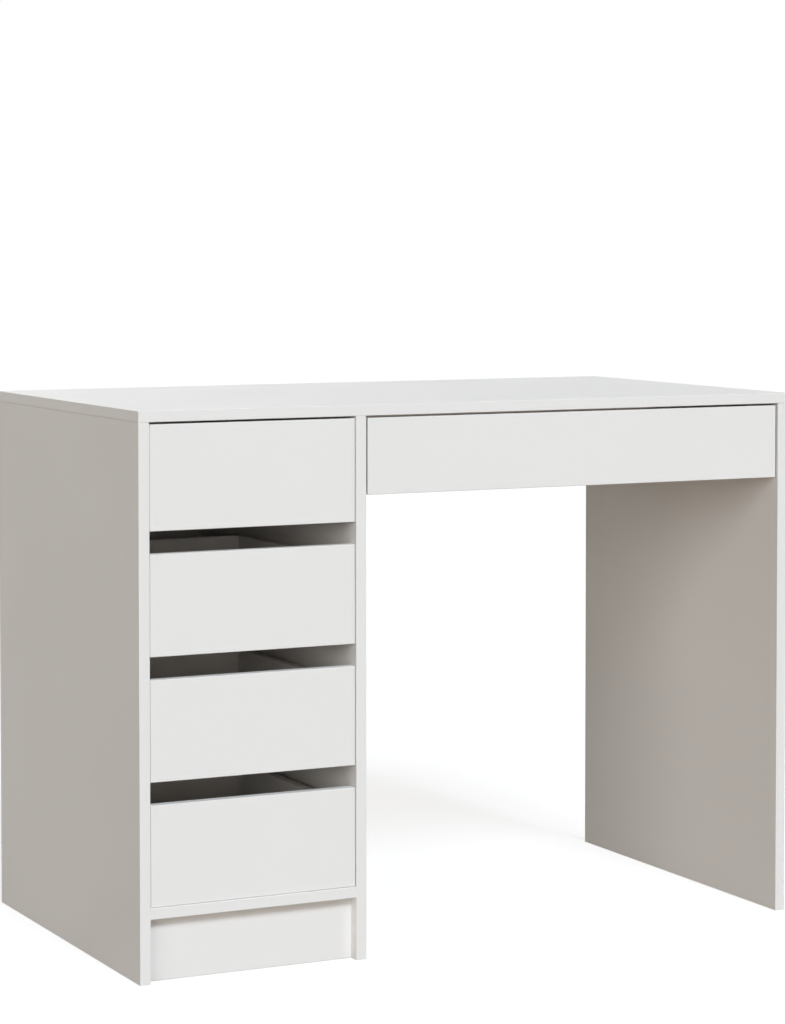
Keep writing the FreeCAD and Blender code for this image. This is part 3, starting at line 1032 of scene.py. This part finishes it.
    @cached_property
    def slots(self) -> NodeTree:
        """Build a row of round ended slot cutters along Y, across X, from every seat.

        Returns:
            The tree.
        """
        sizes = {"Width": 0.004, "Straight": 0.006, "Depth": 0.01, "Count": 2, "Pitch": 0.1}
        sheet = self._start("slot_rows", sizes)
        given = sheet.given
        radius = sheet.math("MULTIPLY", given["Width"], 0.5)
        post = sheet.result("GeometryNodeMeshCylinder", {
            "Vertices": SLOT_SIDES, "Radius": radius, "Depth": given["Depth"]})
        laid = sheet.result("GeometryNodeTransform", {0: post, "Rotation": (0.0, math.pi / 2, 0.0)})
        place = sheet.result("GeometryNodeInputPosition")
        end = sheet.math("SIGN", sheet.add("ShaderNodeSeparateXYZ", {0: place}).outputs["Y"])
        shift = sheet.math("MULTIPLY", end, sheet.math("MULTIPLY", given["Straight"], 0.5))
        moved = {"Geometry": laid, "Offset": sheet.vector(0.0, shift, 0.0)}
        return self._in_rows(sheet, sheet.result("GeometryNodeSetPosition", moved))


TREES = HardwareTrees()


@dataclass(frozen=True)
class Fastener:
    """One kind of screw, nail or cap: its head, its shank and the lengths that it is made in."""

    base: float
    crown: float
    height: float
    bulge: float
    shank: float
    shortest: float
    longest: float
    recess: tuple[float, float, float] | None = None
    finish: Finish = ZINC

    def picks(self, solid: Solid) -> bool:
        """Whether a CAD solid is a fastener of this kind."""
        return self.shortest <= solid.length <= self.longest

    def set_out(self, solids: list[Solid]) -> Mesh:
        """Make one fastener for each CAD solid.

        Args:
            solids: the CAD fasteners.

        Returns:
            All of them as one mesh.
        """
        seats = []
        for outer, facing in (solid.head() for solid in solids):
            seats.append((outer - facing * self.height, facing))
        return self.set_on(seats, solids[0].length)

    def set_on(self, seats: list[Seat], length: float) -> Mesh:
        """Make one fastener on each seat.

        Args:
            seats: where the underside of each head rests, and the direction that it faces.
            length: length of a fastener over all.

        Returns:
            All of them as one mesh.
        """
        values = {"Base Radius": self.base, "Crown Radius": self.crown, "Head Height": self.height,
                  "Bulge": self.bulge, "Shank Radius": self.shank, "Shank Length": length - self.height / 2,
                  "Driven": self.recess is not None, "Material": self.finish.material}
        if self.recess is not None:
            values.update(zip(("Recess Length", "Recess Width", "Recess Depth"), self.recess))
        return grown(seats, TREES.fasteners, values)


PAN_SCREW = Fastener(base=0.0032, crown=0.0022, height=0.0014, bulge=0.35, shank=0.0016,
                     shortest=0.0105, longest=0.0118, recess=(0.0034, 0.0007, 0.0009))
SUNK_SCREW = Fastener(base=0.00175, crown=0.0035, height=0.0025, bulge=0.0, shank=0.0016,
                      shortest=0.033, longest=0.037, recess=(0.0042, 0.0009, 0.0014))
BACK_NAIL = Fastener(base=0.00175, crown=0.0014, height=0.0008, bulge=0.3, shank=0.0007,
                     shortest=0.02, longest=0.026)
CAM_CAP = Fastener(base=0.009, crown=0.0062, height=0.0012, bulge=0.42, shank=0.0007,
                   shortest=0.0028, longest=0.0028, finish=CAP)


def cap_seat(cap: Solid, locks: list[Solid]) -> Seat:
    """Find where a cap rests on the board, over its cam lock.

    Args:
        cap: the CAD cap.
        locks: the CAD cam locks.

    Returns:
        The middle of the cap's underside, and the direction that the cap faces.
    """
    lock = min(locks, key=lambda other: (other.middle - cap.middle).length)
    thickness = min(cap.size)
    axis = list(cap.size).index(thickness)
    facing = Vector()
    facing[axis] = math.copysign(1.0, cap.middle[axis] - lock.middle[axis])
    return cap.middle - facing * (thickness / 2), facing


@dataclass(frozen=True)
class Dowel:
    """Fluted wooden dowel."""

    chamfer: float = 0.0012
    flute: float = 0.00035
    finish: Finish = BEECH

    def set_out(self, solids: list[Solid]) -> Mesh:
        """Make one dowel for each CAD solid.

        Args:
            solids: the CAD dowels.

        Returns:
            All of them as one mesh.
        """
        seats = []
        for solid in solids:
            facing = Vector(float(size == solid.length) for size in solid.size)
            seats.append((solid.middle, facing))
        first = solids[0]
        values = {"Radius": sorted(first.size)[1] / 2, "Length": first.length, "Chamfer": self.chamfer,
                  "Flute Depth": self.flute, "Material": self.finish.material}
        return grown(seats, TREES.dowels, values)


def joined_piece(name: str, meshes: list[Mesh]) -> Object:
    """Join meshes into one piece that keeps their materials.

    Args:
        name: name of the piece.
        meshes: the meshes, each with its own materials.

    Returns:
        The new object.
    """
    bm = bmesh.new()
    materials: list[Material] = []
    for mesh in meshes:
        first = len(bm.faces)
        bm.from_mesh(mesh)
        bm.faces.ensure_lookup_table()
        places = []
        for material in mesh.materials:
            if material not in materials:
                materials.append(material)
            places.append(materials.index(material))
        for face in bm.faces[first:]:
            face.material_index = places[face.material_index]
    return new_piece(name, bm, materials)


def plain_copy(node: str, solids: list[Solid], finish: Finish) -> Mesh:
    """Copy some of the solids of a CAD node.

    Args:
        node: name of the CAD node.
        solids: the solids that are kept.
        finish: their finish.

    Returns:
        The copy as a mesh.
    """
    bm = merged_copy(node)
    kept = {number for solid in solids for number in solid.numbers}
    bmesh.ops.delete(bm, geom=[vert for vert in bm.verts if vert.index not in kept], context="VERTS")
    return new_mesh(f"{node}_kept", bm, [finish.material])


@dataclass(frozen=True)
class HoleRow:
    """Row of slots or round holes along a rail. A round hole has no straight part."""

    width: float
    straight: float
    first: float
    count: int
    pitch: float = 0.115


@dataclass
class SlidePair:
    """Both telescopic slides of a drawer: pressed rails, ball cages and balls."""

    name: str
    finish: Finish = ZINC
    steel: float = 0.0012
    bend: float = 0.0018
    bend_steps: int = 4
    slots: HoleRow = HoleRow(width=0.0046, straight=0.011, first=0.0925, count=2)
    screw_holes: HoleRow = HoleRow(width=0.0036, straight=0.0, first=0.035, count=3)
    cutter_depth: float = 0.0048
    ball: float = 0.00112
    ball_count: int = 13
    cage_round: float = 0.0004
    cage_segments: int = 2
    rail_share: float = 0.9

    def dress(self) -> None:
        """Build the rails and put each kind on its body."""
        bodies = {RailKind.CABINET: "carcass", RailKind.MIDDLE: f"{self.name}_runners",
                  RailKind.DRAWER: self.name}
        for kind, body in bodies.items():
            node = f"{self.name}_{kind.value}"
            piece = joined_piece(f"{node}_pressed", self._meshes(node, kind))
            settle(piece, body, node)

    def _meshes(self, node: str, kind: RailKind) -> list[Mesh]:
        """Make one kind of rail, with its cages and balls where it has them.

        Args:
            node: name of the CAD node.
            kind: kind of rail.

        Returns:
            Its meshes.
        """
        solids = solids_of(node)
        shortest_rail = max(solid.length for solid in solids) * self.rail_share
        rails = [solid for solid in solids if solid.length > shortest_rail]
        cages = [solid for solid in solids if solid.length <= shortest_rail]
        centre = sum(rail.middle.x for rail in rails) / len(rails)
        meshes = []
        for rail in rails:
            on_left = rail.middle.x <= centre
            meshes.append(self._rail(rail, kind, on_left != (kind is RailKind.DRAWER)))
        if cages:
            meshes.extend(self._cage(cage) for cage in cages)
            meshes.append(self._balls(cages))
        return meshes

    def _profile(self, depth: float, half: float) -> list[tuple[float, float]]:
        """Draw the outline of a rail's section.

        Args:
            depth: depth of the rail, from its back outwards.
            half: half its height.

        Returns:
            The outline's points, from the back outwards and up from the middle.
        """
        inner_bend = self.bend - self.steel
        outer, inner = [(depth, half)], [(depth, half - self.steel)]
        for step in range(self.bend_steps + 1):
            turn = math.pi / 2 * step / self.bend_steps
            across, up = math.sin(turn), math.cos(turn)
            outer.append((self.bend * (1 - across), half - self.bend * (1 - up)))
            inner.append((self.bend - inner_bend * across, half - self.bend + inner_bend * up))
        lower_outer = [(u, -v) for u, v in reversed(outer)]
        lower_inner = [(u, -v) for u, v in inner]
        return outer + lower_outer + lower_inner + inner[::-1]

    def _rail(self, rail: Solid, kind: RailKind, back_low: bool) -> Mesh:
        """Sweep one rail, and cut its slots and screw holes.

        Args:
            rail: the CAD rail.
            kind: its kind. Middle rails have no screw holes.
            back_low: whether its back is on the side of low X.

        Returns:
            The rail as a mesh.
        """
        web, outwards = (rail.low.x, 1.0) if back_low else (rail.high.x, -1.0)
        bm = bmesh.new()
        ring = []
        for u, v in self._profile(rail.size.x, rail.size.z / 2):
            ring.append(bm.verts.new((web + outwards * u, rail.low.y, rail.middle.z + v)))
        swept = bmesh.ops.extrude_face_region(bm, geom=[bm.faces.new(ring)])
        ends = [item for item in swept["geom"] if isinstance(item, BMVert)]
        bmesh.ops.translate(bm, verts=ends, vec=(0.0, rail.size.y, 0.0))
        bmesh.ops.recalc_face_normals(bm, faces=bm.faces)
        blank = new_piece("rail_blank", bm, [self.finish.material])
        rows = (self.slots,) if kind is RailKind.MIDDLE else (self.slots, self.screw_holes)
        start = Vector((web, rail.low.y, rail.middle.z))
        cutters = [self._pierce(blank, row, start) for row in rows]
        mesh = plain_mesh(blank)
        for cutter in cutters:
            bpy.data.objects.remove(cutter)
        return mesh

    def _pierce(self, blank: Object, row: HoleRow, start: Vector) -> Object:
        """Take a row of slots or holes out of a rail.

        Args:
            blank: the rail.
            row: the row.
            start: end of the rail that the row is measured from.

        Returns:
            The cutter, which is removed once the rail is cut.
        """
        seat = (start + Vector((0.0, row.first, 0.0)), Vector((1.0, 0.0, 0.0)))
        values = {"Width": row.width, "Straight": row.straight, "Depth": self.cutter_depth,
                  "Count": row.count, "Pitch": row.pitch, "Material": self.finish.material}
        cutter = linked("rail_cutter", grown([seat], TREES.slots, values))
        modifier = blank.modifiers.new("pierce", "BOOLEAN")
        modifier.operation = "DIFFERENCE"
        modifier.object = cutter
        return cutter

    def _cage(self, cage: Solid) -> Mesh:
        """Press the strip that holds a row of balls.

        Args:
            cage: the CAD cage.

        Returns:
            The strip as a mesh.
        """
        bm = bmesh.new()
        size = Matrix.Diagonal((*cage.size, 1.0))
        bmesh.ops.create_cube(bm, size=1.0, matrix=Matrix.Translation(cage.middle) @ size)
        bmesh.ops.bevel(bm, geom=bm.edges[:], offset=self.cage_round, segments=self.cage_segments,
                        profile=ROUND_PROFILE, affect="EDGES")
        return new_mesh("ball_cage", bm, [self.finish.material])

    def _balls(self, cages: list[Solid]) -> Mesh:
        """Fill the cages with balls.

        Args:
            cages: the CAD cages.

        Returns:
            The balls as one mesh.
        """
        pitch = cages[0].length / self.ball_count
        seats = []
        for cage in cages:
            start = Vector((cage.middle.x, cage.low.y + pitch / 2, cage.middle.z))
            seats.append((start, Vector((0.0, 1.0, 0.0))))
        values = {"Radius": self.ball, "Count": self.ball_count, "Pitch": pitch,
                  "Material": self.finish.material}
        return grown(seats, TREES.balls, values)


@dataclass
class Carcass:
    """Boards and hardware that stand still."""

    body: str = "carcass"

    def dress(self) -> None:
        """Build the boards, from the top to the pedestal's back, and then the hardware."""
        ends = (Side.LEFT, Side.RIGHT)
        upright = (Side.UPPER, Side.UNDER)
        cut_sides = {
            "top_panel": (),
            "left_side_panel": upright,
            "partition_panel": upright,
            "right_side_panel": upright,
            "pedestal_bottom_panel": (*ends, Side.BACK),
            "plinth_board": (*ends, Side.UPPER),
            "knee_rear_rail": (*ends, Side.UPPER),
        }
        for node, cut in cut_sides.items():
            Board(node, self.body, Slot.WHITE_BOARD, PANEL_SKINS, cut).dress()
        Board.hardboard("pedestal_back_panel", self.body, Side.FRONT).dress()
        self._hardware()

    def _hardware(self) -> None:
        """Set the screws, nails, caps and dowels, and finish the cams, whose CAD shape is right."""
        locks = solids_of("cam_locks")
        caps = [cap_seat(cap, locks) for cap in solids_of("cam_caps")]
        sets = {
            "slide_screws": (Slot.ZINC_STEEL, PAN_SCREW.set_out(solids_of("slide_screws"))),
            "back_panel_nails": (Slot.ZINC_STEEL, BACK_NAIL.set_out(solids_of("back_panel_nails"))),
            "cam_caps": (Slot.CAP_PLASTIC, CAM_CAP.set_on(caps, CAM_CAP.longest)),
            "dowels": (Slot.DOWEL_WOOD, Dowel().set_out(solids_of("dowels"))),
        }
        for node, (slot, mesh) in sets.items():
            settle(joined_piece(f"{node}_set", [mesh]), self.body, node)
        for node, finish in (("cam_locks", CASTING), ("cam_bolts", ZINC)):
            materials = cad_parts[node].data.materials
            materials.clear()
            materials.append(finish.material)
            LOG.info("%s keeps its CAD shape", node)


@dataclass
class DrawerBox:
    """One drawer: front, sides, back, bottom and fixings."""

    name: str

    def dress(self) -> None:
        """Build every board of the drawer, and its fixings."""
        Board(f"{self.name}_front", self.name, Slot.WHITE_BOARD, PANEL_SKINS).dress()
        cut_sides = {
            "left_side": (Side.FRONT, Side.UNDER),
            "right_side": (Side.FRONT, Side.UNDER),
            "back": (Side.LEFT, Side.RIGHT, Side.UNDER),
        }
        for part, cut in cut_sides.items():
            Board(f"{self.name}_{part}", self.name, Slot.DRAWER_BOARD, BOX_SKINS, cut).dress()
        Board.hardboard(f"{self.name}_bottom", self.name, Side.UPPER).dress()
        self._fixings()

    def _fixings(self) -> None:
        """Set the screws of the box and its rails beside its cams and bolts."""
        node = f"{self.name}_fixings"
        meshes, rest = [], solids_of(node)
        for kind in (PAN_SCREW, SUNK_SCREW):
            meshes.append(kind.set_out([solid for solid in rest if kind.picks(solid)]))
            rest = [solid for solid in rest if not kind.picks(solid)]
        meshes.append(plain_copy(node, rest, CASTING))
        settle(joined_piece(f"{node}_set", meshes), self.name, node)


@dataclass(frozen=True)
class Lamp:
    """Soft lamp far away: the direction it stands in, its strength, spread in degrees and tone."""

    name: str
    stands: Place
    strength: float
    spread: float
    tone: Tone

    def build(self) -> None:
        """Hang the lamp."""
        light = bpy.data.lights.new(self.name, "SUN")
        light.energy = self.strength
        light.angle = math.radians(self.spread)
        light.color = self.tone
        linked(self.name, light).rotation_euler = Vector(self.stands).to_track_quat("Z", "Y").to_euler()


@dataclass
class Studio:
    """Floor, light and camera."""

    eye: Place = (-1.9364, -3.9088, 0.9846)
    turn: float = 26.3891
    pitch: float = 2.5638
    lens: float = 106.191
    sensor: float = 36.0
    rise: float = -0.144
    lamps: tuple[Lamp, ...] = (
        Lamp("key_light", (0.0, -0.762, 0.648), 1.98, 18.0, (0.825, 0.905, 1.0)),
        Lamp("front_light", (0.06, -0.99, 0.115), 0.17, 12.0, (1.0, 0.95, 0.9)),
        Lamp("fill_light", (-0.76, -0.64, 0.09), 1.42, 42.0, (1.0, 0.975, 0.945)),
        Lamp("side_light", (0.97, -0.12, 0.2), 0.9, 60.0, (1.0, 0.97, 0.94)),
        Lamp("rear_light", (0.0, 0.93, 0.367), 0.78, 46.0, (1.0, 0.97, 0.94)),
    )
    sky: Tone = (1.0, 0.95, 0.88)
    sky_strength: float = 0.16
    floor_span: float = 40.0
    floor_drop: float = 0.0004
    floor_segments: int = 4

    def build(self) -> None:
        """Set up the floor, the light and the camera."""
        bpy.context.scene.view_settings.view_transform = "Standard"
        self._floor()
        self._sky()
        for lamp in self.lamps:
            lamp.build()
        self._camera()

    def _floor(self) -> None:
        """Lay the floor, just under the table's feet."""
        bm = bmesh.new()
        level = Matrix.Translation((0.0, 0.0, -self.floor_drop))
        bmesh.ops.create_grid(bm, x_segments=self.floor_segments, y_segments=self.floor_segments,
                              size=self.floor_span / 2, matrix=level)
        new_piece("studio_floor", bm, [FloorFinish("studio_floor").material])

    def _sky(self) -> None:
        """Give even ambient light, white where the camera or a reflection looks at it."""
        world = bpy.data.worlds.new("studio_sky")
        bpy.context.scene.world = world
        world.use_nodes = True
        sheet = NodeSheet(world.node_tree)
        seen = sheet.seen_plainly()
        kinds = ((self.sky, self.sky_strength), (WHITE_LIGHT, 1.0))
        light, white = (sheet.result("ShaderNodeBackground", {"Color": tone4(tone), "Strength": strength})
                        for tone, strength in kinds)
        both = sheet.result("ShaderNodeMixShader", {0: seen, 1: light, 2: white})
        sheet.feed(world.node_tree.nodes["World Output"], {"Surface": both})

    def _camera(self) -> None:
        """Put the camera at the photograph's viewing angle."""
        lens = bpy.data.cameras.new("photo_camera")
        lens.lens = self.lens
        lens.sensor_width = self.sensor
        lens.shift_y = self.rise
        camera = linked("photo_camera", lens)
        camera.location = self.eye
        camera.rotation_euler = (math.radians(90.0 - self.pitch), 0.0, math.radians(-self.turn))
        bpy.context.scene.camera = camera


def main() -> None:
    """Build the table piece by piece, then the studio."""
    logging.basicConfig(level=logging.INFO, format="%(name)s: %(message)s")
    Carcass().dress()
    for name in (*SMALL_DRAWERS, WIDE_DRAWER):
        DrawerBox(name).dress()
        SlidePair(name).dress()
    Studio().build()


if __name__ == "__main__":
    main()
